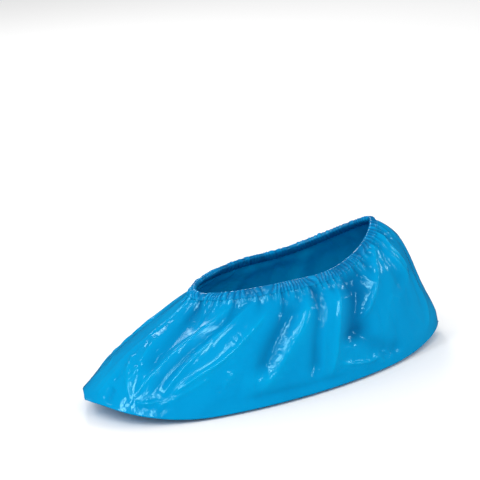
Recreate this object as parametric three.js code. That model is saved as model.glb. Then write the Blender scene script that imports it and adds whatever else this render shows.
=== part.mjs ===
// Disposable film shoe cover in its worn shape: a hollow bag, a gathered hem and its elastic.
// Millimetres, +Z up. The toe points to -X and the cover stands on its sole at Z = 0.
import * as THREE from 'three';
import { mergeVertices } from 'three/addons/utils/BufferGeometryUtils.js';

// Overall size of the worn cover
const length = 290;
const width = 128;
const height = 98;

// Film, and the air gap that keeps neighbouring pieces apart
const filmWall = 1;
const clearance = 0.3;

// Hem: a casing folded over the elastic, which grips the top edge of the film body
const hemWall = 1;
const hemGrip = 2.5;
const pleatDepth = 1.1;
const pleatRise = 0.6;
const pleatsPerSide = 36;

// Flat elastic that lies in the casing
const elasticThickness = 0.8;
const elasticWidth = 2;

// Gathers below the hem and the welded seams at toe and heel
const gatherDepth = 1.3;
const seamHeight = 1.8;
const foldDepth = 6;

const halfLength = length / 2;
const halfWidth = width / 2;
const tongueLength = hemGrip + clearance;
const tau = 2 * Math.PI;
const mergeDistance = 1e-3;

// One row per ring of the outer face, from the top edge to the line along the middle of the sole.
// toe, heel: end points as shares of half the length. half: share of half the width.
// zToe, zSide, zHeel: heights as shares of the height. blunt: roundness of the toe and heel ends.
// flat: share of the ring that stays level. wide: extra width towards the toe.
const rings = [
  { name: 'edge', toe: -0.386, heel: 0.634, half: 0.576, zToe: 0.725, zSide: 0.765, zHeel: 1,
    bluntToe: 1, bluntHeel: 1.3, flat: 0, wide: 0 },
  { name: 'collar', toe: -0.434, heel: 0.7, half: 0.65, zToe: 0.675, zSide: 0.68, zHeel: 0.94,
    bluntToe: 1, bluntHeel: 1.15, flat: 0, wide: 0.02 },
  { name: 'shoulder', toe: -0.545, heel: 0.779, half: 0.766, zToe: 0.575, zSide: 0.592, zHeel: 0.796,
    bluntToe: 0.95, bluntHeel: 1.1, flat: 0, wide: 0.05 },
  { name: 'flank', toe: -0.762, heel: 0.876, half: 0.87, zToe: 0.412, zSide: 0.398, zHeel: 0.449,
    bluntToe: 0.85, bluntHeel: 1.1, flat: 0.2, wide: 0.08 },
  { name: 'skirt', toe: -0.924, heel: 0.962, half: 0.93, zToe: 0.248, zSide: 0.143, zHeel: 0.209,
    bluntToe: 0.75, bluntHeel: 1.15, flat: 0.4, wide: 0.12 },
  { name: 'welt', toe: -0.976, heel: 0.979, half: 0.97, zToe: 0.185, zSide: 0.02, zHeel: 0.097,
    bluntToe: 0.72, bluntHeel: 1.2, flat: 0.5, wide: 0.15 },
  { name: 'tread', toe: -0.997, heel: 0.993, half: 0.49, zToe: 0.176, zSide: 0, zHeel: 0.07,
    bluntToe: 0.9, bluntHeel: 1.2, flat: 0.5, wide: 0.14 },
  { name: 'keel', toe: -1, heel: 1, half: 0, zToe: 0.173, zSide: 0, zHeel: 0.061,
    bluntToe: 1, bluntHeel: 1, flat: 0.5, wide: 0 },
];
const sideRings = rings.length - 2;

// How many film walls the inner face of the sole stands in from the ring's ends and sides, and up
const soleInsets = {
  welt: { ends: 3, sides: 1.5, up: 0.9 },
  tread: { ends: 3.8, sides: 1, up: 1 },
  keel: { ends: 4.2, sides: 0, up: 1 },
};
const noInset = { ends: 0, sides: 0, up: 0 };

// One row per fold. side: -1 for the side at -Y, 1 for the side at +Y.
// top, base: place round the side at the hem and at the sole, 0 at the toe and 1 at the heel.
// from, to: where it starts and ends, 0 at the hem and 1 at the sole's edge.
// lift: share of the fold depth, above zero for a ridge. spread: half its width round the side.
const folds = [
  { side: -1, top: 0.15, base: 0.09, from: 0.02, to: 0.6, lift: -0.3, spread: 0.03 },
  { side: -1, top: 0.27, base: 0.12, from: 0.06, to: 0.95, lift: 0.45, spread: 0.02 },
  { side: -1, top: 0.31, base: 0.14, from: 0.06, to: 0.9, lift: -0.35, spread: 0.022 },
  { side: -1, top: 0.35, base: 0.17, from: 0.1, to: 0.95, lift: 0.45, spread: 0.02 },
  { side: -1, top: 0.41, base: 0.2, from: 0.2, to: 0.95, lift: 0.4, spread: 0.022 },
  { side: -1, top: 0.43, base: 0.37, from: 0.08, to: 0.9, lift: -0.7, spread: 0.026 },
  { side: -1, top: 0.47, base: 0.41, from: 0.1, to: 0.92, lift: 0.4, spread: 0.024 },
  { side: -1, top: 0.51, base: 0.5, from: 0.06, to: 0.92, lift: -0.75, spread: 0.022 },
  { side: -1, top: 0.57, base: 0.54, from: 0.08, to: 0.85, lift: 0.5, spread: 0.024 },
  { side: -1, top: 0.64, base: 0.57, from: 0.04, to: 0.75, lift: -1, spread: 0.028 },
  { side: -1, top: 0.76, base: 0.52, from: 0.03, to: 0.5, lift: 0.5, spread: 0.022 },
  { side: -1, top: 0.47, base: 0.72, from: 0.5, to: 0.95, lift: -0.45, spread: 0.024 },
  { side: -1, top: 0.8, base: 0.77, from: 0.05, to: 0.55, lift: -0.45, spread: 0.022 },
  { side: -1, top: 0.86, base: 0.74, from: 0.04, to: 0.5, lift: 0.4, spread: 0.02 },
  { side: -1, top: 0.98, base: 0.76, from: 0.4, to: 0.95, lift: -0.3, spread: 0.024 },
  { side: 1, top: 0.2, base: 0.11, from: 0.1, to: 0.95, lift: 0.4, spread: 0.024 },
  { side: 1, top: 0.28, base: 0.18, from: 0.1, to: 0.9, lift: -0.5, spread: 0.028 },
  { side: 1, top: 0.37, base: 0.27, from: 0.12, to: 0.95, lift: 0.4, spread: 0.024 },
  { side: 1, top: 0.47, base: 0.42, from: 0.1, to: 0.9, lift: -0.7, spread: 0.03 },
  { side: 1, top: 0.56, base: 0.54, from: 0.08, to: 0.9, lift: 0.45, spread: 0.024 },
  { side: 1, top: 0.64, base: 0.62, from: 0.06, to: 0.85, lift: -0.9, spread: 0.03 },
  { side: 1, top: 0.73, base: 0.73, from: 0.06, to: 0.85, lift: 0.4, spread: 0.022 },
  { side: 1, top: 0.8, base: 0.83, from: 0.08, to: 0.75, lift: -0.6, spread: 0.026 },
  { side: 1, top: 0.89, base: 0.91, from: 0.1, to: 0.7, lift: 0.3, spread: 0.02 },
];

// Rows of the tongue, as shares of its length, and of the side wall below it, as shares of the
// way from the hem to the sole's edge
const tongueRows = [0, 1];
const wallRows = [0.09, 0.17, 0.27, 0.38, 0.5, 0.62, 0.74, 0.87];

// A pleat or gather is three columns wide: its crest, its slope and its valley
const pleatColumns = 3;
const pleatShape = [1, 0.35, 0];
const hemColumns = 2 * pleatColumns * pleatsPerSide;

// Two hem pleats share one gather of the body, so that the body has half the hem's columns
const bodyColumns = hemColumns / 2;

// Film drawn in to the casing swells again below it, most at this share of the way down
const gatherPeak = 0.1;
const gatherReach = 0.13;
const foldRamp = 0.12;

function smoothStep(share) {
  const t = Math.min(Math.max(share, 0), 1);
  return t * t * (3 - 2 * t);
}

function bell(distance, spread) {
  return Math.exp(-((distance / spread) ** 2));
}

// Height share that an end adds: none over the level stretch, then rising as a parabola
function endRise(towardsEnd, flat) {
  return (Math.max(towardsEnd - flat, 0) / (1 - flat)) ** 2;
}

// Point of a ring at an angle, 0 at the toe, a quarter turn at the -Y side
function ringPoint(ring, angle, inset = noInset) {
  const towardsToe = Math.cos(angle);
  const sideways = Math.sin(angle);
  const toe = ring.toe * halfLength + inset.ends * filmWall;
  const heel = ring.heel * halfLength - inset.ends * filmWall;
  const half = ring.half * halfWidth - inset.sides * filmWall;
  const blunt = ring.bluntToe + (ring.bluntHeel - ring.bluntToe) * (1 - towardsToe) / 2;
  const reach = half * Math.abs(sideways) ** blunt * (1 + ring.wide * towardsToe);
  const side = ring.zSide * height;
  const rise = (ring.zToe * height - side) * endRise(towardsToe, ring.flat)
    + (ring.zHeel * height - side) * endRise(-towardsToe, ring.flat);
  return new THREE.Vector3(
    (toe + heel) / 2 - (heel - toe) / 2 * towardsToe,
    -reach * Math.sign(sideways),
    side + rise + inset.up * filmWall,
  );
}

// Angles that share out the length of the top edge evenly, starting at the toe
function evenAngles(count) {
  const steps = 720;
  const walked = [0];
  let last = ringPoint(rings[0], 0);
  for (let i = 1; i <= steps; i += 1) {
    const point = ringPoint(rings[0], i / steps * tau);
    walked.push(walked[i - 1] + point.distanceTo(last));
    last = point;
  }
  const angles = [];
  let step = 0;
  for (let i = 0; i < count; i += 1) {
    const target = i / count * walked[steps];
    while (walked[step + 1] < target) {
      step += 1;
    }
    const part = (target - walked[step]) / (walked[step + 1] - walked[step]);
    angles.push((step + part) / steps * tau);
  }
  return angles;
}

// Share of the way down at which each side ring lies, from the ring sizes at a quarter turn
const ringShares = (() => {
  const shares = [0];
  for (let i = 1; i < sideRings; i += 1) {
    const gap = ringPoint(rings[i], tau / 4).distanceTo(ringPoint(rings[i - 1], tau / 4));
    shares.push(shares[i - 1] + gap);
  }
  return shares.map((share) => share / shares[sideRings - 1]);
})();

// Point of the side wall: a smooth curve through the rings, at a share of the way down
function wallPoint(angle, share) {
  let k = 0;
  while (k < sideRings - 2 && ringShares[k + 1] < share) {
    k += 1;
  }
  const at = (i) => ringPoint(rings[i], angle);
  const slope = (i) => {
    const before = Math.max(i - 1, 0);
    const after = Math.min(i + 1, sideRings - 1);
    return at(after).sub(at(before)).divideScalar(ringShares[after] - ringShares[before]);
  };
  const step = ringShares[k + 1] - ringShares[k];
  const t = (share - ringShares[k]) / step;
  const near = 2 * t ** 3 - 3 * t ** 2 + 1;
  return at(k).multiplyScalar(near)
    .addScaledVector(at(k + 1), 1 - near)
    .addScaledVector(slope(k), step * (t ** 3 - 2 * t ** 2 + t))
    .addScaledVector(slope(k + 1), step * (t ** 3 - t ** 2));
}

// Outward direction of the smooth side wall, from two short steps along it
function wallNormal(angle, share) {
  const turn = 0.01;
  const drop = 0.01;
  const along = wallPoint(angle + turn, share).sub(wallPoint(angle - turn, share));
  const down = wallPoint(angle, Math.min(share + drop, 1)).sub(wallPoint(angle, Math.max(share - drop, 0)));
  return down.cross(along).normalize();
}

// Directions at the top edge: up the wall, along the edge and out of the film
function edgeFrame(angle) {
  const turn = 0.01;
  const origin = ringPoint(rings[0], angle);
  const up = origin.clone().sub(ringPoint(rings[1], angle)).normalize();
  const along = ringPoint(rings[0], angle + turn).sub(ringPoint(rings[0], angle - turn));
  const out = along.cross(up).normalize();
  return { origin, up, out };
}

function placeOnEdge(frame, outwards, upwards) {
  return frame.origin.clone().addScaledVector(frame.out, outwards).addScaledVector(frame.up, upwards);
}

// How far the folds push the film out at a place round one side and a share of the way down
function foldPush(side, place, share) {
  let push = 0;
  for (const fold of folds) {
    if (fold.side === side) {
      const middle = fold.top + (fold.base - fold.top) * share;
      const fade = smoothStep((share - fold.from) / foldRamp) * smoothStep((fold.to - share) / foldRamp);
      push += fold.lift * foldDepth * fade * bell(place - middle, fold.spread);
    }
  }
  return push;
}

// Everything that moves a column's film off the smooth wall: folds, gathers and end seams
function filmPush(column, angle, share) {
  const side = angle <= tau / 2 ? -1 : 1;
  const place = side < 0 ? angle / (tau / 2) : (tau - angle) / (tau / 2);
  const gather = gatherDepth * pleatShape[column % pleatColumns] * bell(share - gatherPeak, gatherReach);
  const onSeam = column % (bodyColumns / 2) === 0;
  const fold = foldPush(side, place, share) * smoothStep((1 - share) / foldRamp);
  return fold + gather + (onSeam ? seamHeight : 0);
}

// The strip of the body's top edge that stands in the hem
function makeTongue(angles, outwards) {
  const frames = angles.map(edgeFrame);
  return tongueRows.map((share) => (
    frames.map((frame) => placeOnEdge(frame, outwards, -share * tongueLength))
  ));
}

// The sole, from its edge to its middle line, as its outer or its inner face
function makeSole(angles, isInner) {
  return rings.slice(sideRings - 1).map((ring) => (
    angles.map((angle) => ringPoint(ring, angle, isInner ? soleInsets[ring.name] : noInset))
  ));
}

// The outer face: tongue, folded side wall and sole
function outerRows(angles) {
  const wall = wallRows.map((share) => angles.map((angle, column) => (
    wallPoint(angle, share).addScaledVector(wallNormal(angle, share), filmPush(column, angle, share))
  )));
  return [...makeTongue(angles, 0), ...wall, ...makeSole(angles, false)];
}

// The inner face: the outer wall rows set in by one film wall, square to the folded face
function innerRows(angles, outer) {
  const firstWall = tongueRows.length;
  const wall = wallRows.map((_, i) => outer[firstWall + i].map((point, column, row) => {
    const next = row[(column + 1) % row.length];
    const last = row[(column + row.length - 1) % row.length];
    const along = next.clone().sub(last);
    const down = outer[firstWall + i + 1][column].clone().sub(outer[firstWall + i - 1][column]);
    return point.clone().addScaledVector(down.cross(along).normalize(), -filmWall);
  }));
  return [...makeTongue(angles, -filmWall), ...wall, ...makeSole(angles, true)];
}

// Closed mesh from rows of points, each row a loop. Faces point out when the first row lies
// above the second as seen from outside and the loops run anticlockwise seen from above.
// Where crossed says so, a square is split along its other diagonal.
function loopsToGeometry(rows, closeRows, crossed = () => false) {
  const columns = rows[0].length;
  const positions = rows.flat().flatMap((point) => [point.x, point.y, point.z]);
  const indices = [];
  const bands = closeRows ? rows.length : rows.length - 1;
  for (let row = 0; row < bands; row += 1) {
    const below = (row + 1) % rows.length;
    for (let column = 0; column < columns; column += 1) {
      const next = (column + 1) % columns;
      const a = row * columns + column;
      const b = row * columns + next;
      const c = below * columns + next;
      const d = below * columns + column;
      if (crossed(row, column)) {
        indices.push(a, d, b, d, c, b);
      } else {
        indices.push(a, d, c, a, c, b);
      }
    }
  }
  const geometry = new THREE.BufferGeometry();
  geometry.setAttribute('position', new THREE.Float32BufferAttribute(positions, 3));
  geometry.setIndex(indices);
  return closeGeometry(geometry);
}

// Merges shared points and drops the triangles that this leaves without an area
function closeGeometry(geometry) {
  const merged = mergeVertices(geometry, mergeDistance);
  const index = merged.getIndex().array;
  const kept = [];
  for (let i = 0; i < index.length; i += 3) {
    const [a, b, c] = index.slice(i, i + 3);
    if (a !== b && b !== c && c !== a) {
      kept.push(a, b, c);
    }
  }
  merged.setIndex(kept);
  merged.computeVertexNormals();
  return merged;
}

// The bag: outer face from the keel up to the top edge, then the inner face down again
function makeFilmBody() {
  const angles = evenAngles(bodyColumns);
  const outer = outerRows(angles);
  const inner = innerRows(angles, outer).reverse();
  const rows = [...inner, ...outer];
  // Diagonals follow the folds, which lean towards the toe, and are the same on both faces.
  // On the sole they all run one way, so that no two triangles coincide at its ends.
  const soleBands = rings.length - sideRings;
  const onSole = (row) => row < soleBands || row >= rows.length - 1 - soleBands;
  const crossed = (row, column) => (
    !onSole(row) && (row < inner.length) !== (column < bodyColumns / 2)
  );
  return loopsToGeometry(rows, false, crossed);
}

// The casing: an upside-down U in section that straddles the elastic and the body's top edge
function makeGatheredHem() {
  const middle = -filmWall / 2;
  const gap = Math.max(filmWall, elasticThickness) / 2 + clearance;
  const roof = clearance + elasticWidth + clearance;
  const leg = gap + hemWall;
  const section = (crest) => {
    const swell = pleatDepth * crest;
    const crown = roof + hemWall + pleatRise * crest;
    return [
      [gap, roof], [gap, -hemGrip], [leg + swell, -hemGrip], [leg + swell, roof],
      [gap, crown], [-gap, crown], [-leg - swell, roof], [-leg - swell, -hemGrip],
      [-gap, -hemGrip], [-gap, roof],
    ];
  };
  const columns = evenAngles(hemColumns).map((angle, column) => {
    const frame = edgeFrame(angle);
    const corners = section(pleatShape[column % pleatColumns]);
    return corners.map(([outwards, upwards]) => placeOnEdge(frame, middle + outwards, upwards));
  });
  const rows = columns[0].map((_, corner) => columns.map((column) => column[corner])).reverse();
  return loopsToGeometry(rows, true);
}

// The elastic: a flat ring that stands on edge in the casing, just above the body's top edge
function makeElasticBand() {
  const middle = -filmWall / 2;
  const half = elasticThickness / 2;
  const low = clearance;
  const high = clearance + elasticWidth;
  const corners = [[half, high], [half, low], [-half, low], [-half, high]];
  const frames = evenAngles(bodyColumns).map(edgeFrame);
  const rows = corners.map(([outwards, upwards]) => (
    frames.map((frame) => placeOnEdge(frame, middle + outwards, upwards))
  ));
  return loopsToGeometry(rows, true);
}

const blueFilm = { color: 0x0390d6, roughness: 0.28, metalness: 0 };
const gatheredFilm = { color: 0x1183c2, roughness: 0.34, metalness: 0 };
const elasticRubber = { color: 0xdfe8ee, roughness: 0.7, metalness: 0 };

function addPiece(group, name, geometry, finish) {
  const mesh = new THREE.Mesh(geometry, new THREE.MeshStandardMaterial(finish));
  mesh.name = name;
  group.add(mesh);
}

const shoeCover = new THREE.Group();
shoeCover.name = 'shoe_cover';
addPiece(shoeCover, 'film_body', makeFilmBody(), blueFilm);
addPiece(shoeCover, 'gathered_hem', makeGatheredHem(), gatheredFilm);
addPiece(shoeCover, 'elastic_band', makeElasticBand(), elasticRubber);

export default shoeCover;
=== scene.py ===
"""Looks of a disposable film shoe cover in its worn shape: glossy film, a gathered hem, an elastic.

Metres, +Z up. The toe points to -X, the side that the camera sees is -Y, and the sole stands on Z = 0.
The smooth form is a stack of rings joined by a spline. Folds, creases and gathers push the film off it.
"""

import logging
from dataclasses import dataclass
from enum import Enum

import bpy
import numpy as np
from mathutils import Matrix, Vector


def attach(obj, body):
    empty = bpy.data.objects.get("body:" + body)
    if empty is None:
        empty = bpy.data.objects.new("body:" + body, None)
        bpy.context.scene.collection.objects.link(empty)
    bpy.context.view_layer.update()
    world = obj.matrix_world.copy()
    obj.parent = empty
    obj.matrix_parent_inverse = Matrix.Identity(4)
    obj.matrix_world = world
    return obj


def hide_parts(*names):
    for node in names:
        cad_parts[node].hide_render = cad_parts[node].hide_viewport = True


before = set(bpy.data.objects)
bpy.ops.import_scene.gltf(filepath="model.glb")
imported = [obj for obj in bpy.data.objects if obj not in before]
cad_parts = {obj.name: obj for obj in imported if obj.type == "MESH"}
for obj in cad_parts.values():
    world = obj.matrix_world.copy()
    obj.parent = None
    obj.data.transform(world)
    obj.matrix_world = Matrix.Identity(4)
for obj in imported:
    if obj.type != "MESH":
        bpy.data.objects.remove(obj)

log = logging.getLogger("shoe_cover")

MM = 0.001
TAU = 2 * np.pi

Array = np.ndarray
Socket = bpy.types.NodeSocket
Piece = bpy.types.Object
Span = tuple[float, float]
Colour = tuple[float, float, float]
Waves = tuple[tuple[int, float, float], ...]


def smooth_step(share: Array) -> Array:
    """Goes smoothly from 0 to 1 as share does.

    Args:
        share: any values; those outside 0 to 1 are held at its ends.

    Returns:
        t * t * (3 - 2 * t) of the held values.
    """
    t = np.clip(share, 0.0, 1.0)
    return t * t * (3.0 - 2.0 * t)


def unit(vectors: Array) -> Array:
    """Scales vectors to length 1.

    Args:
        vectors: array whose last axis is x, y, z.

    Returns:
        The same directions, with a zero vector left as it is.
    """
    size = np.linalg.norm(vectors, axis=-1, keepdims=True)
    return vectors / np.maximum(size, 1e-12)


def grid_normals(points: Array) -> Array:
    """Outward directions of a grid whose rows run down and whose columns run round.

    Args:
        points: rows by columns by 3, the columns closing on themselves.

    Returns:
        The cross product of the step down and the step along, scaled to length 1.
    """
    along = np.roll(points, -1, axis=1) - np.roll(points, 1, axis=1)
    down = np.gradient(points, axis=0)
    return unit(np.cross(down, along))


# Stores painted light and shade: the tone that moves the film's colour between its shaded and lit colours.
def paint_light_and_shade(obj: Piece, tone: Array) -> None:
    """Stores the tone that the film's colour follows.

    Args:
        obj: the piece.
        tone: one value for each vertex, painted shade at 0 in a valley and painted light at 1 on a ridge.
    """
    attribute = obj.data.attributes.new("tone", "FLOAT", "POINT")
    attribute.data.foreach_set("value", tone.ravel().astype(np.float32))


def index_grid(points: Array, start: int = 0) -> Array:
    """Numbers the points of a grid.

    Args:
        points: rows by columns by 3.
        start: the first number.

    Returns:
        Rows by columns.
    """
    rows, columns = points.shape[:2]
    return start + np.arange(rows * columns).reshape(rows, columns)


def direction(azimuth: float, elevation: float) -> Vector:
    """Direction out from the cover. Azimuth 0 is -Y, 90 degrees +X.

    Args:
        azimuth: in degrees.
        elevation: in degrees above the floor.

    Returns:
        A vector of length 1.
    """
    a, e = np.radians(azimuth), np.radians(elevation)
    return Vector((np.sin(a) * np.cos(e), -np.cos(a) * np.cos(e), np.sin(e)))


@dataclass(frozen=True)
class Ring:
    """One ring round the cover, in shares of the cover's half length, half width and height.

    toe and heel are its end points, half its half width, and z_toe, z_side and z_heel its heights.
    blunt_toe and blunt_heel round its ends, flat is the share that stays level, wide widens it at the toe.
    """

    toe: float
    heel: float
    half: float
    z_toe: float
    z_side: float
    z_heel: float
    blunt_toe: float = 1.0
    blunt_heel: float = 1.0
    flat: float = 0.0
    wide: float = 0.0


@dataclass(frozen=True)
class CoverForm:
    """The smooth worn form: a wall down through the side rings, and a sole from the welt to the keel."""

    length: float = 0.290
    width: float = 0.128
    height: float = 0.098
    edge: Ring = Ring(-0.386, 0.634, 0.576, 0.725, 0.765, 1.0, 1.0, 1.3)
    collar: Ring = Ring(-0.434, 0.7, 0.65, 0.675, 0.68, 0.94, 1.0, 1.15, 0.0, 0.02)
    shoulder: Ring = Ring(-0.545, 0.788, 0.766, 0.575, 0.592, 0.796, 0.95, 1.1, 0.0, 0.05)
    flank: Ring = Ring(-0.75, 0.886, 0.87, 0.405, 0.398, 0.449, 0.85, 1.1, 0.2, 0.08)
    skirt: Ring = Ring(-0.915, 0.966, 0.93, 0.222, 0.143, 0.209, 0.82, 1.15, 0.4, 0.13)
    welt: Ring = Ring(-0.976, 0.982, 0.97, 0.15, 0.02, 0.1, 0.82, 1.2, 0.5, 0.17)
    tread: Ring = Ring(-0.997, 0.993, 0.49, 0.14, 0.0, 0.075, 0.95, 1.2, 0.5, 0.16)
    keel: Ring = Ring(-1.0, 1.0, 0.0, 0.138, 0.0, 0.068, 1.0, 1.0, 0.5, 0.0)

    def ring_points(self, ring: Ring, angle: Array) -> Array:
        """Points of one ring. Angle 0 is the toe and a quarter turn the middle of the -Y side.

        x runs with the cosine and y with a power of the sine. z is level at the side and rises to the
        ends with the square of the cosine beyond the level share.

        Args:
            ring: the ring.
            angle: angles in radians.

        Returns:
            Points, in an array with one more axis than angle.
        """
        toe, heel = ring.toe * self.length / 2, ring.heel * self.length / 2
        cos, sin = np.cos(angle), np.sin(angle)
        blunt = ring.blunt_toe + (ring.blunt_heel - ring.blunt_toe) * (1 - cos) / 2
        reach = ring.half * self.width / 2 * np.abs(sin) ** blunt * (1 + ring.wide * cos)
        z_toe, z_side, z_heel = (z * self.height for z in (ring.z_toe, ring.z_side, ring.z_heel))
        rise_toe = (np.maximum(cos - ring.flat, 0) / (1 - ring.flat)) ** 2
        rise_heel = (np.maximum(-cos - ring.flat, 0) / (1 - ring.flat)) ** 2
        x = (toe + heel) / 2 - (heel - toe) / 2 * cos
        z = z_side + (z_toe - z_side) * rise_toe + (z_heel - z_side) * rise_heel
        return np.stack([x, -reach * np.sign(sin), z], axis=-1)

    @property
    def side_rings(self) -> tuple[Ring, ...]:
        """The rings that the wall's spline runs through.

        Returns:
            Six rings, from the top edge down.
        """
        return self.edge, self.collar, self.shoulder, self.flank, self.skirt, self.welt

    def ring_shares(self) -> Array:
        """Share of the way down the wall at which each side ring lies, measured at a quarter turn.

        Returns:
            Rising values from 0 to 1.
        """
        marks = np.array([self.ring_points(ring, np.array(TAU / 4)) for ring in self.side_rings])
        walked = np.concatenate([[0.0], np.cumsum(np.linalg.norm(np.diff(marks, axis=0), axis=1))])
        return walked / walked[-1]

    def even_angles(self, count: int) -> Array:
        """Angles that share out the length of the top edge evenly, the same on both sides.

        Args:
            count: how many angles, an even number.

        Returns:
            Angles from 0, the toe, up to but not including a full turn.
        """
        samples = 721
        fine = np.linspace(0, TAU / 2, samples)
        steps = np.linalg.norm(np.diff(self.ring_points(self.edge, fine), axis=0), axis=1)
        walked = np.concatenate([[0.0], np.cumsum(steps)])
        half = np.interp(np.linspace(0, walked[-1], count // 2 + 1), walked, fine)
        return np.concatenate([half, TAU - half[-2:0:-1]])

    def wall_points(self, angle: Array, share: Array) -> Array:
        """Points of the smooth wall: a Hermite spline down through the side rings.

        Args:
            angle: angles round the cover.
            share: share of the way from the top edge to the welt, to broadcast with angle.

        Returns:
            Points, in an array with one more axis than the two broadcast.
        """
        angle, share = np.broadcast_arrays(angle, share)
        marks = self.ring_shares()
        rings = np.stack([self.ring_points(ring, angle) for ring in self.side_rings])
        last = len(marks) - 1
        every = np.arange(last + 1)
        after, before = np.minimum(every + 1, last), np.maximum(every - 1, 0)
        spans = (marks[after] - marks[before]).reshape(-1, *[1] * (angle.ndim + 1))
        slopes = (rings[after] - rings[before]) / spans
        k = np.clip(np.searchsorted(marks, share, side="right") - 1, 0, last - 1)
        gap = (marks[k + 1] - marks[k])[..., None]
        t = (share - marks[k])[..., None] / gap
        pick = k[None, ..., None]
        above, leave = (np.take_along_axis(table, pick, 0)[0] for table in (rings, slopes))
        below, enter = (np.take_along_axis(table, pick + 1, 0)[0] for table in (rings, slopes))
        near = 2 * t**3 - 3 * t**2 + 1
        bend = (t**3 - 2 * t**2 + t) * leave + (t**3 - t**2) * enter
        return near * above + (1 - near) * below + gap * bend

    def sole_points(self, angle: Array, share: Array) -> Array:
        """Points of the smooth sole, in straight lines from the welt to the tread and on to the keel.

        Args:
            angle: angles round the cover.
            share: 0 at the welt, 1 at the keel, to broadcast with angle.

        Returns:
            Points, none below the floor.
        """
        angle, share = np.broadcast_arrays(angle, share)
        t = 2 * share[..., None]
        welt, tread, keel = (self.ring_points(ring, angle) for ring in (self.welt, self.tread, self.keel))
        points = np.where(t < 1, welt + (tread - welt) * t, tread + (keel - tread) * (t - 1))
        points[..., 2] = np.maximum(points[..., 2], 0.0)
        return points

    def edge_frame(self, angle: Array) -> tuple[Array, Array, Array]:
        """Directions at the top edge.

        Args:
            angle: angles round the cover.

        Returns:
            The edge's points, the direction up the wall and the direction out of the film.
        """
        turn = 0.01
        origin = self.ring_points(self.edge, angle)
        up = unit(origin - self.ring_points(self.collar, angle))
        along = self.ring_points(self.edge, angle + turn) - self.ring_points(self.edge, angle - turn)
        return origin, up, unit(np.cross(along, up))


class Side(Enum):
    """The two sides of the cover, by the sign of Y."""

    NEAR = -1
    FAR = 1


@dataclass(frozen=True)
class Fold:
    """One long fold, along a path of (place, share) pairs.

    A place is 0 at the toe and 1 at the heel; a share is 0 at the hem and 1 at the welt.
    lift and width are in millimetres, and lift is below zero in a valley.
    """

    lift: float
    width: float
    sharp: float
    path: tuple[Span, ...]
    side: Side = Side.NEAR


FAR = Side.FAR

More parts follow.
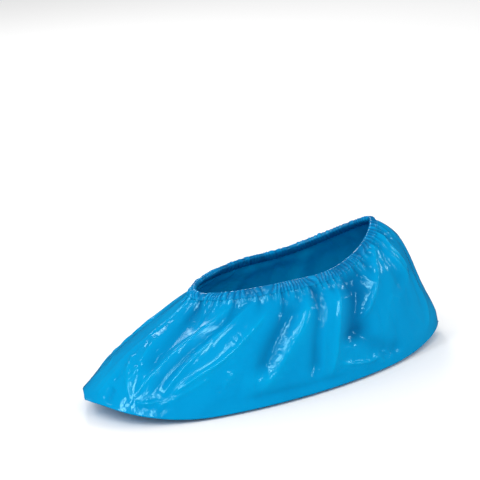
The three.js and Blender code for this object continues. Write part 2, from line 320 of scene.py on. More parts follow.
FOLDS = (
    # The toe: a broad valley behind it, two lines that meet in a V, and a short line down to the corner.
    Fold(-2.2, 9, 0.2, ((0.12, 0.02), (0.11, 0.37), (0.12, 0.67))),
    Fold(1.5, 3.2, 0.8, ((0.035, 0.34), (0.075, 0.54), (0.1, 0.8))),
    Fold(1.3, 2.8, 0.8, ((0.03, 0.56), (0.09, 0.76), (0.13, 0.86))),
    Fold(0.8, 2.0, 0.9, ((0.02, 0.6), (0.012, 0.75), (0.018, 0.85), (0.014, 0.97))),
    Fold(0.6, 1.6, 0.9, ((0.015, 0.52), (0.06, 0.64))),
    Fold(-1.4, 4, 0.6, ((0.05, 0.8), (0.07, 0.97))),
    # Three ridges from the hem to the pucker at the toe's corner.
    Fold(2.1, 2.5, 1.0, ((0.275, 0.03), (0.2, 0.25), (0.165, 0.4), (0.14, 0.75), (0.13, 0.88))),
    Fold(-1.6, 4.5, 0.3, ((0.3, 0.05), (0.215, 0.4), (0.18, 0.75), (0.17, 0.85))),
    Fold(2.2, 2.4, 1.0, ((0.32, 0.05), (0.255, 0.3), (0.23, 0.47), (0.208, 0.7), (0.205, 0.86))),
    Fold(2.3, 2.4, 1.0, ((0.37, 0.12), (0.325, 0.46), (0.3, 0.57), (0.25, 0.7), (0.215, 0.86))),
    Fold(1.0, 1.8, 0.95, ((0.3, 0.66), (0.25, 0.8), (0.2, 0.92))),
    Fold(1.2, 1.6, 0.9, ((0.145, 0.88), (0.168, 0.9), (0.21, 0.85))),
    Fold(0.9, 1.8, 0.95, ((0.34, 0.64), (0.326, 0.8))),
    # The broad ridge in the middle, with a deep soft valley on each side.
    Fold(-3.4, 6.5, 0.25, ((0.44, 0.06), (0.41, 0.45), (0.4, 0.8))),
    Fold(2.9, 5.5, 0.6, ((0.475, 0.08), (0.455, 0.5), (0.42, 0.74), (0.4, 0.93))),
    Fold(-3.0, 4.2, 0.4, ((0.502, 0.04), (0.505, 0.5), (0.506, 0.92))),
    Fold(1.1, 2.2, 0.8, ((0.515, 0.06), (0.52, 0.46), (0.52, 0.9))),
    Fold(2.2, 2.4, 1.0, ((0.572, 0.04), (0.552, 0.32), (0.55, 0.54), (0.54, 0.8), (0.534, 0.95))),
    # The hollow under the hem, the hooked ridge behind it and the arc below both.
    Fold(-4.5, 8.5, 0.0, ((0.64, 0.03), (0.612, 0.35), (0.585, 0.7))),
    Fold(2.5, 2.6, 1.0, ((0.79, 0.02), (0.71, 0.17), (0.65, 0.36), (0.61, 0.52))),
    Fold(-2.2, 6.5, 0.2, ((0.585, 0.5), (0.63, 0.73), (0.71, 0.93))),
    Fold(1.3, 1.8, 0.95, ((0.55, 0.8), (0.6, 0.87), (0.65, 0.88))),
    Fold(0.9, 1.4, 0.95, ((0.635, 0.83), (0.655, 0.95))),
    Fold(0.9, 1.4, 0.95, ((0.655, 0.82), (0.68, 0.93))),
    Fold(-1.0, 4.2, 0.3, ((0.36, 0.9), (0.46, 0.91), (0.58, 0.93))),
    # The heel: lines that fan out from the gathers.
    Fold(-1.6, 6, 0.2, ((0.81, 0.03), (0.77, 0.2), (0.76, 0.45))),
    Fold(1.8, 2.3, 0.9, ((0.82, 0.03), (0.787, 0.2), (0.82, 0.42))),
    Fold(1.4, 2.0, 0.9, ((0.87, 0.03), (0.82, 0.18), (0.835, 0.38))),
    Fold(0.9, 2.2, 0.8, ((0.81, 0.03), (0.74, 0.2))),
    Fold(0.9, 1.8, 0.9, ((0.88, 0.1), (0.94, 0.2))),
    Fold(-1.0, 4.5, 0.2, ((0.93, 0.04), (0.9, 0.3), (0.88, 0.55))),
    Fold(0.7, 1.5, 0.9, ((0.71, 0.4), (0.745, 0.48))),
    Fold(0.8, 4, 0.6, ((0.85, 0.38), (0.87, 0.64), (0.81, 0.92))),
    # The far side.
    Fold(-1.2, 9, 0.1, ((0.15, 0.03), (0.12, 0.7)), FAR),
    Fold(1.6, 2.3, 0.95, ((0.22, 0.04), (0.15, 0.5), (0.12, 0.9)), FAR),
    Fold(-2.4, 5.5, 0.3, ((0.28, 0.06), (0.18, 0.92)), FAR),
    Fold(1.7, 2.3, 0.95, ((0.37, 0.05), (0.31, 0.4), (0.26, 0.94)), FAR),
    Fold(1.0, 2.0, 0.95, ((0.42, 0.05), (0.34, 0.85)), FAR),
    Fold(-2.8, 5.5, 0.3, ((0.47, 0.03), (0.44, 0.5), (0.42, 0.98)), FAR),
    Fold(1.8, 2.2, 0.95, ((0.56, 0.05), (0.54, 0.92)), FAR),
    Fold(-3.2, 6.5, 0.25, ((0.64, 0.03), (0.61, 0.5), (0.63, 0.96)), FAR),
    Fold(1.4, 2.0, 1.0, ((0.605, 0.05), (0.585, 0.5), (0.59, 0.85)), FAR),
    Fold(1.6, 2.0, 0.95, ((0.73, 0.04), (0.72, 0.4), (0.74, 0.86)), FAR),
    Fold(-1.8, 5, 0.3, ((0.8, 0.03), (0.81, 0.4), (0.84, 0.9)), FAR),
    Fold(1.2, 2.0, 0.95, ((0.77, 0.04), (0.79, 0.4), (0.82, 0.8)), FAR),
    Fold(1.2, 2.0, 0.95, ((0.89, 0.04), (0.87, 0.3), (0.9, 0.7)), FAR),
    Fold(-1.4, 3.4, 0.5, ((0.36, 0.9), (0.6, 0.92), (0.8, 0.88)), FAR),
)


def crest(distance: Array, sharp: float) -> Array:
    """Section of a fold: 1 on its line, falling to both sides.

    Args:
        distance: distances from the line, in fold widths.
        sharp: 0 for a round fold, 1 for a crease.

    Returns:
        A mix of the bell exp(-d * d) and the peak exp(k - sqrt(d * d + k * k)), with k a small rounding.
    """
    rounding = 0.2
    bell = np.exp(-(distance**2))
    peak = np.exp(rounding - np.sqrt(distance**2 + rounding**2))
    return (1 - sharp) * bell + sharp * peak


@dataclass(frozen=True)
class FilmMap:
    """Flat coordinates of the side walls, in which the long folds are laid out."""

    girth_top: float = 0.180
    girth_base: float = 0.338
    depth: float = 0.105
    fade_ramp: float = 0.22

    def flatten(self, place: Array, share: Array) -> Array:
        """Flat coordinates, in metres, measured from the middle of the side.

        Args:
            place: 0 at the toe, 1 at the heel.
            share: 0 at the hem, 1 at the welt.

        Returns:
            Pairs: the place times a girth that grows downwards, and the share times the wall's depth.
        """
        girth = self.girth_top + (self.girth_base - self.girth_top) * share
        return np.stack(np.broadcast_arrays((place - 0.5) * girth, share * self.depth), axis=-1)

    @staticmethod
    def round_corners(path: Array, times: int = 2) -> Array:
        """Rounds the corners of a path and keeps its ends.

        Args:
            path: its points.
            times: how often each corner is cut.

        Returns:
            More points, a quarter and three quarters of the way along each straight.
        """
        for _ in range(times):
            cut = np.stack([0.75 * path[:-1] + 0.25 * path[1:], 0.25 * path[:-1] + 0.75 * path[1:]], axis=1)
            path = np.concatenate([path[:1], cut.reshape(-1, 2), path[-1:]])
        return path

    def fold_push(self, fold: Fold, place: Array, share: Array) -> Array:
        """How far one fold pushes the film out.

        Args:
            fold: the fold.
            place: places of the grid's points on the fold's side.
            share: their shares of the way down.

        Returns:
            lift times the crest of the distance from the fold's path, faded in and out at its two ends.
        """
        spot = self.flatten(place, share)
        path = self.round_corners(self.flatten(*np.array(fold.path).T))
        runs = np.diff(path, axis=0)
        sizes = np.linalg.norm(runs, axis=1)
        begun = np.cumsum(sizes) - sizes
        nearest = np.full(spot.shape[:-1], np.inf)
        walked = np.zeros(spot.shape[:-1])
        for first, run, size, start in zip(path, runs, sizes, begun):
            t = np.clip((spot - first) @ run / size**2, 0, 1)
            distance = np.linalg.norm(spot - first - t[..., None] * run, axis=-1)
            closer = distance < nearest
            nearest = np.where(closer, distance, nearest)
            walked = np.where(closer, (start + t * size) / sizes.sum(), walked)
        fade = smooth_step(walked / self.fade_ramp) * smooth_step((1 - walked) / self.fade_ramp)
        return fold.lift * MM * fade * crest(nearest / (fold.width * MM), fold.sharp)


@dataclass(frozen=True)
class CreaseField:
    """Short creases scattered over part of the wall, each a straight crest with a slight bow.

    turns and shares bound the part: half turns from the toe round the -Y side, and the way down.
    length, width, lift and thickness are in millimetres. lean spreads their turn off straight down, in
    radians, weakest is the least share of the lift, and bow the most that a crease bends aside.
    """

    seed: int
    count: int
    turns: Span
    shares: Span
    length: Span
    width: Span
    lift: float
    lean: float
    sharp: float = 0.9
    thickness: float = 10.0
    weakest: float = 0.4
    bow: float = 0.12

    def push(self, form: CoverForm, points: Array) -> Array:
        """How far the creases push the film out.

        Args:
            form: the smooth form, which gives each crease its centre and directions.
            points: the smooth wall's points.

        Returns:
            The sum of the creases. Each is its lift times the crest of the distance across it, times
            (1 - (along / half length) ** 2) ** 2 along it, times a bell of the distance off its plane.
        """
        step = 0.01
        random = np.random.default_rng(self.seed)
        total = np.zeros(points.shape[:-1])
        for _ in range(self.count):
            angle = random.uniform(*self.turns) * TAU / 2
            share = random.uniform(*self.shares)
            turn = random.normal(0, self.lean)
            half = random.uniform(*self.length) * MM / 2
            width = random.uniform(*self.width) * MM
            lift = random.choice([-1.0, 1.0]) * random.uniform(self.weakest, 1.0) * self.lift * MM
            bow = random.uniform(-self.bow, self.bow)
            here = np.array([angle, angle + step, angle])
            down_to = np.array([share, share, share + step])
            centre, beside, below = form.wall_points(here, down_to)
            along, down = unit(beside - centre), unit(below - centre)
            normal = unit(np.cross(down, along))
            along = np.cross(normal, down)
            run = np.cos(turn) * down + np.sin(turn) * along
            rel = points - centre
            reach = 1.5 * half + 6 * width
            near = np.einsum("...i,...i->...", rel, rel) < reach**2
            rel = rel[near]
            t = rel @ run / half
            distance = rel @ np.cross(normal, run) - bow * half * t**2
            off = rel @ normal / (self.thickness * MM)
            window = np.clip(1 - t**2, 0, None) ** 2 * np.exp(-(off**2))
            total[near] += lift * window * crest(distance / width, self.sharp)
        return total


# Seed, count, ranges of the turns, shares, lengths and widths, then lift and lean.
# The first three cover the whole wall, and the rest are crumpled patches, seven near and three far.
CREASES = (
    CreaseField(3, 60, (0, 2), (0.1, 0.9), (30, 80), (1.4, 3.0), 0.45, 0.3),
    CreaseField(5, 200, (0, 2), (0.05, 1.0), (10, 32), (0.9, 1.8), 0.2, 0.7),
    CreaseField(8, 400, (0, 2), (0.05, 1.0), (5, 14), (0.7, 1.3), 0.1, 1.4),
    CreaseField(11, 56, (0.405, 0.45), (0.4, 0.8), (4, 10), (0.8, 1.4), 0.26, 1.0),
    CreaseField(12, 34, (0.02, 0.1), (0.42, 0.76), (6, 14), (0.8, 1.4), 0.4, 0.5),
    CreaseField(13, 44, (0.115, 0.235), (0.85, 0.98), (4, 10), (0.8, 1.2), 0.5, 0.6),
    CreaseField(14, 26, (0.55, 0.68), (0.82, 0.93), (5, 12), (0.8, 1.3), 0.5, 1.4),
    CreaseField(15, 14, (0.31, 0.37), (0.3, 0.62), (5, 12), (0.8, 1.2), 0.35, 0.8),
    CreaseField(16, 14, (0.32, 0.345), (0.66, 0.8), (4, 8), (0.8, 1.2), 0.4, 1.0),
    CreaseField(17, 10, (0.8, 0.9), (0.05, 0.36), (12, 26), (1.0, 1.6), 0.3, 0.4),
    CreaseField(21, 40, (1.3, 1.45), (0.35, 0.8), (7, 18), (0.8, 1.4), 0.5, 0.7),
    CreaseField(22, 30, (1.84, 1.96), (0.45, 0.8), (7, 16), (0.9, 1.5), 0.5, 1.4),
    CreaseField(23, 24, (1.5, 1.66), (0.8, 0.94), (5, 14), (0.8, 1.4), 0.5, 1.2),
)


@dataclass(frozen=True)
class Pleats:
    """Fine uneven pleats that the elastic draws the top edge into.

    Waves are rows of (waves round the edge, size, lag): sway moves the pleats along, in pleats, and waves
    changes their depth. levels are rows of (pleats merged into one, depth in millimetres, share where
    they are deepest, reach), with their lag, roundness, mean and period below.
    """

    count: int = 112
    sway: Waves = ((3, 0.9, 1.1), (7, 0.5, 4.0), (13, 0.35, 2.2), (23, 0.16, 5.1))
    waves: Waves = ((5, 0.18, 0.4), (11, 0.2, 2.0), (19, 0.18, 3.3), (31, 0.14, 1.2))
    swell: float = 0.6
    swell_reach: float = 0.09
    levels: tuple[tuple[int, float, float, float], ...] = (
        (1, 1.3, 0.03, 0.045),
        (2, 1.1, 0.05, 0.06),
        (4, 0.9, 0.09, 0.09),
        (8, 0.6, 0.18, 0.14),
    )
    level_lag: float = 0.37
    level_round: float = 0.7
    level_mean: float = 0.7
    level_period: float = 2.7
    crest_heights: Span = (0.45, 1.3)
    crest_round: float = 0.75
    seed: int = 40

    def phase(self, turn: Array) -> Array:
        """Pleats counted round from the toe.

        Args:
            turn: share of the way round the top edge.

        Returns:
            count * turn plus the sway, a sum of slow waves that crowd and spread the pleats.
        """
        moved = sum(size * np.sin(TAU * waves * turn + lag) for waves, size, lag in self.sway)
        return self.count * turn + moved

    def strength(self, turn: Array) -> Array:
        """How deep the pleats are: 1 on average, from about a third to one and two thirds.

        Args:
            turn: share of the way round the top edge.

        Returns:
            1 plus the sum of the waves.
        """
        return 1 + sum(size * np.sin(TAU * number * turn + lag) for number, size, lag in self.waves)

    def crests(self, phase: Array, turn: Array) -> Array:
        """Height of the pleats at the hem.

        Args:
            phase: pleats counted round.
            turn: share of the way round.

        Returns:
            Rounded crests with narrow valleys, each with a seeded height of its own.
        """
        heights = np.random.default_rng(self.seed).uniform(*self.crest_heights, self.count)
        own = heights[np.floor(phase).astype(int) % self.count]
        return np.abs(np.sin(np.pi * phase)) ** self.crest_round * own * self.strength(turn)

    def gather_push(self, turn: Array, share: Array) -> Array:
        """How far the pleats push the film out below the hem.

        Args:
            turn: share of the way round.
            share: share of the way down the wall.

        Returns:
            A sum over the levels. Each is a row of rounded crests with narrow valleys, and the finer ones
            die out higher up. All stand on a swell that fades with the share.
        """
        total = self.swell * MM * np.exp(-((share / self.swell_reach) ** 2)) * np.ones_like(turn)
        for merged, depth, peak, reach in self.levels:
            phase = self.phase(turn) / merged + self.level_lag * (merged - 1)
            row = np.abs(np.sin(np.pi * phase)) ** self.level_round - self.level_mean
            reach_here = reach * (0.75 + 0.5 * np.sin(TAU * phase / self.level_period) ** 2)
            total += depth * MM * row * np.exp(-(((share - peak) / reach_here) ** 2))
        return total * self.strength(turn)


class Nodes:
    """Builds a material's node tree with few words."""

    def __init__(self, name: str) -> None:
        """Starts an empty material.

        Args:
            name: the material's name.
        """
        self.material = bpy.data.materials.new(name)
        self.material.use_nodes = True
        self.tree = self.material.node_tree
        self.tree.nodes.clear()

    def add(self, kind: str, **values: object) -> bpy.types.Node:
        """Adds a node.

        Args:
            kind: its type, without the leading ShaderNode.
            values: properties of the node to set.

        Returns:
            The node.
        """
        node = self.tree.nodes.new("ShaderNode" + kind)
        for key, value in values.items():
            setattr(node, key, value)
        return node

    def feed_named(self, node: bpy.types.Node, **sources: object) -> None:
        """Gives several inputs of a node their values.

        Args:
            node: the node.
            sources: numbers, colours or sockets, by the inputs' names with _ for spaces.
        """
        for name, source in sources.items():
            self.feed(node.inputs[name.replace("_", " ").title().replace("Ior", "IOR")], source)

    def feed(self, socket: Socket, source: object) -> None:
        """Gives an input socket its value.

        Args:
            socket: the input.
            source: a number, a colour, or the output socket to link it to.
        """
        if isinstance(source, Socket):
            self.tree.links.new(source, socket)
        else:
            socket.default_value = source

    def math(self, operation: str, *values: object, clamp: bool = False) -> Socket:
        """Adds a math node.

        Args:
            operation: its operation.
            values: numbers or sockets for its inputs.
            clamp: whether its result is held between 0 and 1.

        Returns:
            Its output socket.
        """
        node = self.add("Math", operation=operation, use_clamp=clamp)
        for socket, value in zip(node.inputs, values):
            self.feed(socket, value)
        return node.outputs[0]

    def mix(self, share: object, first: object, second: object) -> Socket:
        """Mixes two colours.

        Args:
            share: share of the second one, a number or a socket.
            first: a colour or a socket.
            second: a colour or a socket.

        Returns:
            The mixed colour's socket.
        """
        share_in, first_in, second_in, colour_out = 0, 6, 7, 2
        node = self.add("Mix", data_type="RGBA")
        for k, source in ((share_in, share), (first_in, first), (second_in, second)):
            self.feed(node.inputs[k], source)
        return node.outputs[colour_out]

    def noise(self, scale: float, detail: float, **inputs: float) -> Socket:
        """Adds a noise texture on Object coordinates.

        Args:
            scale: waves in a metre.
            detail: octaves.
            inputs: more of its inputs, as in feed_named.

        Returns:
            The socket of its values.
        """
        node = self.add("TexNoise")
        place = self.add("TexCoord").outputs["Object"]
        self.feed_named(node, vector=place, scale=scale, detail=detail, **inputs)
        return node.outputs[0]

    def ridged(self, scale: float, distortion: float) -> Socket:
        """Adds ridged noise: noise that runs from -1 to 1, without its sign.

        Args:
            scale: waves in a metre.
            distortion: how much it is pulled about.

        Returns:
            Its socket, 0 on the creases.
        """
        noise = self.noise(scale, 2.0, distortion=distortion)
        return self.math("ABSOLUTE", self.math("MULTIPLY_ADD", noise, 2.0, -1.0))

    def bump(self, height: Socket, distance: float, **inputs: Socket) -> Socket:
        """Adds a bump.

        Args:
            height: socket of heights from 0 to 1.
            distance: metres that a height of 1 stands for.
            inputs: more of its inputs, such as the normal that it adds to.

        Returns:
            The new normal's socket.
        """
        node = self.add("Bump")
        self.feed_named(node, distance=distance, strength=1.0, height=height, **inputs)
        return node.outputs[0]

    def principled(self, **inputs: object) -> bpy.types.Material:
        """Ends the tree in a Principled shader.

        Args:
            inputs: its inputs, as in feed_named.

        Returns:
            The finished material.
        """
        shader = self.add("BsdfPrincipled")
        self.feed_named(shader, **inputs)
        output = self.add("OutputMaterial")
        self.tree.links.new(shader.outputs[0], output.inputs[0])
        return self.material


@dataclass(frozen=True)
class FilmFinish:
    """Thin glossy polyethylene film.

    Colours are linear; valley is a painted shade for deep places and ridge a painted light for high ones.
    The scales are waves in a metre, and crinkle and grain the heights of the bumps in metres.
    """

    name: str
    base: Colour = (0.0, 0.268, 0.565)
    valley: Colour = (0.0, 0.125, 0.32)
    ridge: Colour = (0.0, 0.365, 0.68)
    shine: Colour = (0.4, 0.9, 1.0)
    roughness: float = 0.11
    crinkle: float = 0.0003
    grain: float = 0.00004
    drift_scale: float = 22.0
    drift_share: float = 0.5
    wide_scale: float = 60.0
    fine_scale: float = 200.0
    fine_share: float = 0.4
    patch_scale: float = 30.0
    patch_contrast: float = 5.0
    patch_start: float = 0.46
    grain_scale: float = 900.0

    def build(self) -> bpy.types.Material:
        """Makes the material.

        Returns:
            The material. Its colour follows the piece's tone attribute, 0 in a valley and 1 on a ridge,
            and a slow noise. Its bump is ridged noise, wide and fine, in patches, and a grain.
        """
        n = Nodes(self.name)
        # Painted light and shade: the tone runs the colour from the shaded valley colour to the lit ridge
        # colour.
        tone = n.add("Attribute", attribute_name="tone").outputs["Fac"]
        drift = n.noise(self.drift_scale, 3.0, distortion=0.6)
        drift = n.math("MULTIPLY_ADD", drift, self.drift_share, -self.drift_share / 2)
        high = n.math("MULTIPLY_ADD", tone, 1.0, drift, clamp=True)
        low_half = n.math("MULTIPLY", high, 2.0, clamp=True)
        high_half = n.math("MULTIPLY_ADD", high, 2.0, -1.0, clamp=True)
        low_colour = n.mix(low_half, (*self.valley, 1), (*self.base, 1))
        colour = n.mix(high_half, low_colour, (*self.ridge, 1))
        wide = n.ridged(self.wide_scale, 0.8)
        fine = n.ridged(self.fine_scale, 0.5)
        creases = n.math("MULTIPLY_ADD", fine, self.fine_share, wide)
        contrast, start = self.patch_contrast, -self.patch_contrast * self.patch_start
        patch = n.math("MULTIPLY_ADD", n.noise(self.patch_scale, 1.0), contrast, start, clamp=True)
        crinkle = n.bump(n.math("MULTIPLY", creases, patch), self.crinkle)
        grain = n.bump(n.noise(self.grain_scale, 2.0), self.grain, normal=crinkle)
        tint = (*self.shine, 1)
        return n.principled(
            base_color=colour, roughness=self.roughness, ior=1.5, specular_tint=tint, normal=grain
        )


@dataclass(frozen=True)
class MattFinish:
    """One matt colour, with a fine noise in its bump, grain metres high, where that isn't 0."""

    name: str
    base: Colour
    roughness: float
    grain: float = 0.0
    grain_scale: float = 1500.0

    def build(self) -> bpy.types.Material:
        """Makes the material.

        Returns:
            The material.
        """
        n = Nodes(self.name)
        inputs = {"normal": n.bump(n.noise(self.grain_scale, 1.0), self.grain)} if self.grain else {}
        return n.principled(base_color=(*self.base, 1), roughness=self.roughness, **inputs)


def make_object(name: str, points: Array, faces: list[list[int]], material: bpy.types.Material) -> Piece:
    """Makes a smooth shaded mesh object at the origin.

    Args:
        name: its name.
        points: its vertices.
        faces: index lists.
        material: its material.

    Returns:
        The object, linked to the scene.
    """
    mesh = bpy.data.meshes.new(name)
    mesh.from_pydata(points.reshape(-1, 3).tolist(), [], faces)
    mesh.polygons.foreach_set("use_smooth", np.ones(len(mesh.polygons), bool))
    mesh.update()
    mesh.materials.append(material)
    obj = bpy.data.objects.new(name, mesh)
    bpy.context.scene.collection.objects.link(obj)
    triangles = sum(len(p.vertices) - 2 for p in mesh.polygons)
    log.info("%s: %d vertices, %d triangles", name, len(mesh.vertices), triangles)
    return obj


def ring_quads(index: Array, outward: bool) -> Array:
    """Faces between the rows of a grid whose columns close on themselves.

    Args:
        index: vertex numbers, rows by columns, rows running down.
        outward: whether faces look away from the axis.

    Returns:
        Rows of four vertex numbers.
    """
    a, b = index[:-1], np.roll(index[:-1], -1, axis=1)
    d, c = index[1:], np.roll(index[1:], -1, axis=1)
    order = (a, d, c, b) if outward else (a, b, c, d)
    return np.stack(order, axis=-1).reshape(-1, 4)


@dataclass
class FilmBody:
    """The bag of film: folded walls, welded end seams and a flat sole, with an outer and an inner face.

    film is its thickness. Under the hem the folds fade in over grip_share, and above the welt they fall to
    welt_calm over welt_reach. The tone paints light on ridges and shade in valleys: it reaches its ends at
    tone_depth in or out, counts the gathers gather_tone times more, and drops by gather_shade, a painted
    shade under the hem, over gather_reach.
    """

    form: CoverForm
    pleats: Pleats
    finish: FilmFinish = FilmFinish("blue_film")
    columns: int = 640
    wall_rows: int = 94
    sole_rows: int = 15
    film: float = 0.0008
    seam_height: float = 0.0006
    seam_width: float = 0.0012
    seam_fade: float = 0.15
    end_radius: float = 0.05
    grip_share: float = 0.032
    welt_calm: float = 0.35
    welt_reach: float = 0.1
    tone_depth: float = 0.005
    gather_tone: float = 1.5
    gather_shade: float = 0.3
    gather_reach: float = 0.12
    creases: tuple[CreaseField, ...] = CREASES

    def fold_push(self, angle: Array, share: Array) -> Array:
        """Push of the long folds over the whole wall.

        Args:
            angle: angles of the columns, as one row.
            share: shares of the rows, as one column.

        Returns:
            Rows by columns.
        """
        film_map = FilmMap()
        near = angle <= TAU / 2
        place = np.where(near, angle, TAU - angle) / (TAU / 2)
        total = np.zeros(np.broadcast(angle, share).shape)
        for fold in FOLDS:
            on_side = near if fold.side is Side.NEAR else ~near
            total += np.where(on_side, film_map.fold_push(fold, place, share), 0.0)
        return total

    def seam_push(self, angle: Array, share: Array) -> Array:
        """Push of the welded seams that run down the toe and the heel.

        Args:
            angle: angles of the columns, as one row.
            share: shares of the rows, as one column.

        Returns:
            A narrow bell round angles 0 and a half turn, faded out under the hem and at the welt.
        """
        off = np.minimum(np.abs(np.sin(angle / 2)), np.abs(np.cos(angle / 2))) * 2 * self.end_radius
        below_hem = smooth_step((share - self.grip_share) / self.grip_share)
        above_welt = smooth_step((1 - share) / self.seam_fade)
        return self.seam_height * np.exp(-((off / self.seam_width) ** 2)) * (below_hem * above_welt)

    def outer(self) -> tuple[Array, Array]:
        """The outer face.

        Returns:
            Its points, rows by columns by 3, and its tone, painted shade at 0 in the deepest valleys and
            painted light at 1 on the highest ridges. The wall moves out along its normal by the sum of
            folds, creases, gathers and seams.
        """
        angle = self.form.even_angles(self.columns)[None, :]
        share = np.linspace(0, 1, self.wall_rows)[:, None]
        turn = (np.arange(self.columns) / self.columns)[None, :]
        wall = self.form.wall_points(angle, share)
        normal = grid_normals(wall)
        push = self.fold_push(angle, share) + sum(part.push(self.form, wall) for part in self.creases)
        gathers = self.pleats.gather_push(turn, share)
        calm = self.welt_calm + (1 - self.welt_calm) * smooth_step((1 - share) / self.welt_reach)
        push = push * calm + gathers
        push = push * smooth_step(share / self.grip_share) + self.seam_push(angle, share)
        wall = wall + normal * push[..., None]
        sole = self.form.sole_points(angle, np.linspace(0, 1, self.sole_rows + 1)[1:, None])
        points = np.concatenate([wall, sole])
        points[..., 2] = np.maximum(points[..., 2], 0.0)
        # Painted light and shade: lighter where the film stands out, darker in valleys, and a painted shade
        # under the hem.
        shade = self.gather_shade * np.exp(-((share / self.gather_reach) ** 2))
        height = (push + self.gather_tone * gathers) / self.tone_depth
        tone = np.clip(0.5 + height / 2 - shade, 0, 1)
        tone = np.concatenate([tone, np.full(sole.shape[:2], 0.5)])
        return points, tone

    def inner(self, outer: Array) -> Array:
        """The inner face: every second point of the outer one, set in along its normal.

        Args:
            outer: the outer face's points.

        Returns:
            Points, with half as many columns and rows.
        """
        coarse = outer[:, ::2]
        smooth = (coarse + np.roll(coarse, 1, axis=1) + np.roll(coarse, -1, axis=1)) / 3
        set_in = smooth - grid_normals(coarse) * self.film
        rows = np.unique(np.append(np.arange(0, len(outer), 2), len(outer) - 1))
        kept = set_in[rows]
        kept[..., 2] = np.maximum(kept[..., 2], self.film)
        return kept

    def build(self) -> Piece:
        """Makes the object: both faces, joined round the top edge and each closed along the keel.

        Returns:
            The object. Along the keel each column shares its point with the one across.
        """
        outer, tone = self.outer()
        inner = self.inner(outer)
        out_index = index_grid(outer)
        in_index = index_grid(inner, out_index.size)
        for index in (out_index, in_index):
            column = np.arange(index.shape[1])
            index[-1] = index[-1][np.minimum(column, -column % len(column))]
        quads = np.concatenate([ring_quads(out_index, True), ring_quads(in_index, False)])
        first, middle, last = out_index[0][::2], out_index[0][1::2], np.roll(out_index[0], -2)[::2]
        inside, inside_next = in_index[0], np.roll(in_index[0], -1)
        rim = ((first, middle, inside), (middle, inside_next, inside), (middle, last, inside_next))
        triangles = np.concatenate([np.stack(corners, axis=-1) for corners in rim])
        points = np.concatenate([outer.reshape(-1, 3), inner.reshape(-1, 3)])
        used = np.unique(np.concatenate([out_index.ravel(), in_index.ravel()]))
        renumber = np.full(len(points), -1)
        renumber[used] = np.arange(len(used))
        faces = renumber[quads].tolist() + renumber[triangles].tolist()
        obj = make_object("cover_film", points[used], faces, self.finish.build())
        # The inner face gets tone 1, the ridge colour: a painted light for light coming through the film.
        paint_light_and_shade(obj, np.concatenate([tone.ravel(), np.ones(in_index.size)])[used])
        return obj


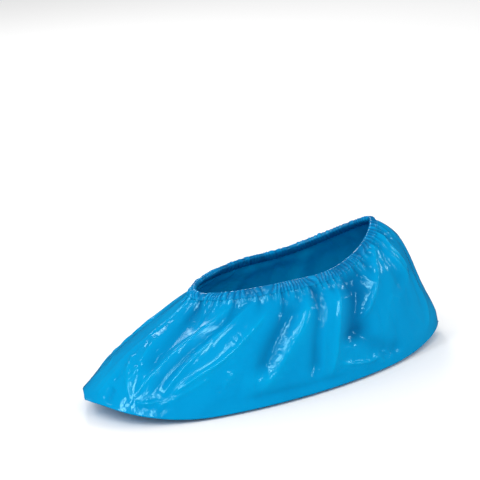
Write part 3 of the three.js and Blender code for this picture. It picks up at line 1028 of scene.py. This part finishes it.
@dataclass
class GatheredHem:
    """The casing: film folded over the elastic and drawn up into fine pleats, a ring of U section.

    gap is half the space between its plies and wall their thickness. crown and grip are how far it goes
    above and below the body's edge. depth is the pleats' depth and rise their height on top; they lean by
    lean pleats, times lean_mean and lean_waves. middle moves the section inwards, and skin lifts the lip
    off the body's face, which it meets at body_share. The swell falls by roof_fade up the outer ply, and
    is arc_swell and inner_swell over the top and inside.
    """

    form: CoverForm
    pleats: Pleats
    finish: FilmFinish = FilmFinish(
        "hem_film", (0.0, 0.21, 0.49), (0.0, 0.085, 0.24), (0.0, 0.3, 0.61), roughness=0.18, crinkle=0.0002
    )
    columns: int = 1344
    gap: float = 0.0008
    wall: float = 0.0005
    crown: float = 0.0036
    grip: float = 0.0034
    depth: float = 0.0016
    rise: float = 0.00025
    lean: float = 0.7
    lean_mean: float = 0.3
    lean_waves: Waves = ((9, 1.0, 1.0), (17, 0.6, 0.0))
    middle: float = -0.0005
    skin: float = 0.00012
    body_share: float = 0.032
    roof_fade: float = 0.6
    arc_swell: float = 0.4
    inner_swell: float = 0.45
    steps: int = 8

    def section(self) -> Array:
        """The section's points, anticlockwise seen against the running direction.

        Returns:
            Rows of outwards, upwards, share of the outer pleats, share of the inner pleats, and how far
            the point leaves the body's face, 0 to 1. They start at the outer ply's lip, run up the outside,
            over in a half circle and down the inside, and end round the cavity at the lip's inner corner.
        """
        ply = self.gap + self.wall
        straight = self.crown - ply
        roof = straight + ply / 2
        rows = []
        for t in np.linspace(0, 1, self.steps):
            z = -self.grip + (straight + self.grip) * t
            rows.append((ply, z, 1 - self.roof_fade * t**2, 0.0, float(smooth_step(1 + z / self.grip))))
        for a in np.linspace(0, np.pi, self.steps)[1:-1]:
            outer, inner = self.arc_swell * max(np.cos(a), 0), self.inner_swell * max(-np.cos(a), 0)
            rows.append((ply * np.cos(a), straight + ply * np.sin(a), outer, inner, 1.0))
        rows += [(-ply, z, 0.0, self.inner_swell, 1.0) for z in (straight, -self.grip)]
        rows += [(-self.gap, -self.grip, 0.0, 0.0, 1.0), (-self.gap, roof, 0.0, 0.0, 1.0)]
        rows += [(self.gap, roof, 0.0, 0.0, 1.0), (self.gap, -self.grip, 0.0, 0.0, 0.0)]
        return np.array(rows)

    def build(self) -> Piece:
        """Makes the object: the section carried round the edge, swelling at each pleat.

        Returns:
            The object. Outwards grows by depth times the pleat's crest, pleats lean unevenly as they rise,
            and the outer ply's lip lies on the body's own gathers, so that these run on into the hem. The
            tone, painted light on the crests and painted shade between them, grows with the crest, and
            towards the lip with the cube of the way down.
        """
        angle = self.form.even_angles(self.columns)
        turn = np.arange(self.columns) / self.columns
        origin, up, out = self.form.edge_frame(angle)
        rows = self.section()
        lift = (rows[:, 1] + self.grip) / (self.crown + self.grip)
        waves = sum(size * np.sin(TAU * number * turn + lag) for number, size, lag in self.lean_waves)
        lean = self.lean * (self.lean_mean + waves)
        phase = self.pleats.phase(turn)[None, :] + lean[None, :] * lift[:, None]
        crests = self.pleats.crests(phase, turn)
        across, height, outer_share, inner_share, leave = (rows[:, k : k + 1] for k in range(5))
        outer_swell = self.depth * crests * outer_share
        between = np.abs(np.sin(np.pi * (phase + 0.5))) ** self.pleats.crest_round
        inner_swell = self.depth * between * inner_share
        outwards = self.middle + across + outer_swell - inner_swell
        body = self.pleats.gather_push(turn, np.array(self.body_share))
        lip = body + np.where(across > self.gap, self.skin, self.skin / 4)
        outwards = lip + (outwards - lip) * leave
        upwards = height + self.rise * crests * (height > 0)
        points = origin[None] + out[None] * outwards[..., None] + up[None] * upwards[..., None]
        index = index_grid(points)
        closed = np.concatenate([index, index[:1]])
        obj = make_object("cover_hem", points, ring_quads(closed, False).tolist(), self.finish.build())
        low, on_crest, at_lip, highest = 0.05, 0.65, 0.45, self.pleats.crest_heights[1]
        # Painted light on the pleats' crests and painted shade between them, and lighter towards the lip.
        tone = low + on_crest * np.clip(crests, 0, highest) / highest + at_lip * (1 - lift[:, None]) ** 3
        paint_light_and_shade(obj, tone)
        return obj


@dataclass
class ElasticBand:
    """The flat elastic inside the hem, which keeps its exact shape."""

    finish: MattFinish = MattFinish("elastic_rubber", (0.74, 0.80, 0.85), 0.7, 0.0001)
    node: str = "elastic_band"

    def dress(self) -> Piece:
        """Gives the frame's elastic its finish.

        Returns:
            The frame's own object.
        """
        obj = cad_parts[self.node]
        obj.data.materials.clear()
        obj.data.materials.append(self.finish.build())
        log.info("%s: %d vertices", obj.name, len(obj.data.vertices))
        return obj


@dataclass
class SoftBox:
    """One upright soft light that looks at the cover."""

    name: str
    azimuth: float
    elevation: float
    width: float
    height: float
    power: float
    distance: float = 1.6

    def build(self, aim: Vector) -> None:
        """Makes the light.

        Args:
            aim: the point that it faces.
        """
        light = bpy.data.lights.new(self.name, "AREA")
        light.shape = "RECTANGLE"
        light.size, light.size_y, light.energy = self.width, self.height, self.power
        obj = bpy.data.objects.new(self.name, light)
        back = direction(self.azimuth, self.elevation)
        obj.location = aim + back * self.distance
        obj.rotation_euler = back.to_track_quat("Z", "Y").to_euler()
        bpy.context.scene.collection.objects.link(obj)


@dataclass
class Studio:
    """Pale floor, soft light all round, soft boxes for the highlights, and the camera.

    Angles are in degrees. The sky's strength is lower where the film's shine mirrors it, so that only the
    soft boxes make highlights. lit_height is how high above the floor the lights aim.
    """

    aim: tuple[float, float, float] = (-0.0043, 0.026, 0.0949)
    azimuth: float = -25.6
    elevation: float = 16.7
    roll: float = -4.3
    distance: float = 1.3515
    lens: float = 140.0
    sensor: float = 36.0
    floor_size: float = 30.0
    floor_finish: MattFinish = MattFinish("pale_floor", (0.9, 0.9, 0.9), 0.9)
    lit_height: float = 0.05
    sky: float = 0.8
    sky_in_shine: float = 0.03
    lights: tuple[SoftBox, ...] = (
        SoftBox("key_light", -72.0, 44.0, 0.18, 0.9, 6.6),
        SoftBox("high_light", -32.0, 56.0, 0.07, 0.5, 2.0),
        SoftBox("front_light", -2.0, 36.0, 0.07, 0.6, 2.4),
        SoftBox("patch_light", -44.0, 44.0, 0.18, 0.32, 1.9),
        SoftBox("low_light", -28.0, 34.0, 0.06, 0.26, 0.8),
        SoftBox("side_light", 50.0, 16.0, 0.055, 0.8, 1.9),
        SoftBox("heel_light", 82.0, 18.0, 0.05, 0.5, 1.2),
        SoftBox("toe_light", -128.0, 57.0, 0.14, 0.2, 0.7),
        SoftBox("rim_light", -168.0, 40.0, 0.14, 0.16, 0.5),
        SoftBox("back_light", 165.0, 38.0, 0.2, 0.8, 6.0),
    )

    def build(self) -> Piece:
        """Makes the stage.

        Returns:
            The floor.
        """
        half = self.floor_size / 2
        corners = np.array([(-half, -half, 0), (half, -half, 0), (half, half, 0), (-half, half, 0)])
        floor = make_object("floor", corners, [[0, 1, 2, 3]], self.floor_finish.build())
        floor.visible_glossy = False
        self.make_sky()
        bpy.context.scene.view_settings.view_transform = "Standard"
        for light in self.lights:
            light.build(Vector((0.0, 0.0, self.lit_height)))
        self.place_camera()
        return floor

    def make_sky(self) -> None:
        """Makes the soft light all round: sky, or sky_in_shine where a glossy ray meets it."""
        world = bpy.data.worlds.new("studio")
        world.use_nodes = True
        nodes, links = world.node_tree.nodes, world.node_tree.links
        background = nodes["Background"]
        background.inputs["Color"].default_value = (1, 1, 1, 1)
        ray = nodes.new("ShaderNodeLightPath").outputs["Is Glossy Ray"]
        strength = nodes.new("ShaderNodeMath")
        strength.operation = "MULTIPLY_ADD"
        links.new(ray, strength.inputs[0])
        strength.inputs[1].default_value = self.sky_in_shine - self.sky
        strength.inputs[2].default_value = self.sky
        links.new(strength.outputs[0], background.inputs["Strength"])
        bpy.context.scene.world = world

    def place_camera(self) -> None:
        """Makes the camera, which looks back along azimuth and elevation at the aim, turned by the roll."""
        back = direction(self.azimuth, self.elevation)
        right = direction(self.azimuth + 90.0, 0.0)
        upright = Matrix((right, back.cross(right), back)).transposed()
        turned = Matrix.Rotation(np.radians(self.roll), 3, back) @ upright
        camera = bpy.data.cameras.new("camera")
        camera.lens, camera.sensor_width = self.lens, self.sensor
        obj = bpy.data.objects.new("camera", camera)
        obj.matrix_world = Matrix.Translation(Vector(self.aim) + back * self.distance) @ turned.to_4x4()
        bpy.context.scene.collection.objects.link(obj)
        bpy.context.scene.camera = obj


@dataclass
class ShoeCover:
    """The whole cover: film body, gathered hem and elastic."""

    form: CoverForm = CoverForm()
    pleats: Pleats = Pleats()
    flat_cut: Span = (0.30, 0.36)

    def build(self, floor: Piece) -> None:
        """Builds the pieces and ties them to the frame.

        Args:
            floor: what the cover stands on; not used.
        """
        film = FilmBody(self.form, self.pleats).build()
        hem = GatheredHem(self.form, self.pleats).build()
        elastic = ElasticBand().dress()
        for piece, node, slot in ((film, "film_body", "blue_film"), (hem, "gathered_hem", "hem_film")):
            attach(piece, "root")
            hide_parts(node)


def main() -> None:
    """Builds the stage and the cover."""
    logging.basicConfig(level=logging.INFO, format="%(name)s %(message)s")
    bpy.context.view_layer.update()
    floor = Studio().build()
    ShoeCover().build(floor)


if __name__ == "__main__":
    main()
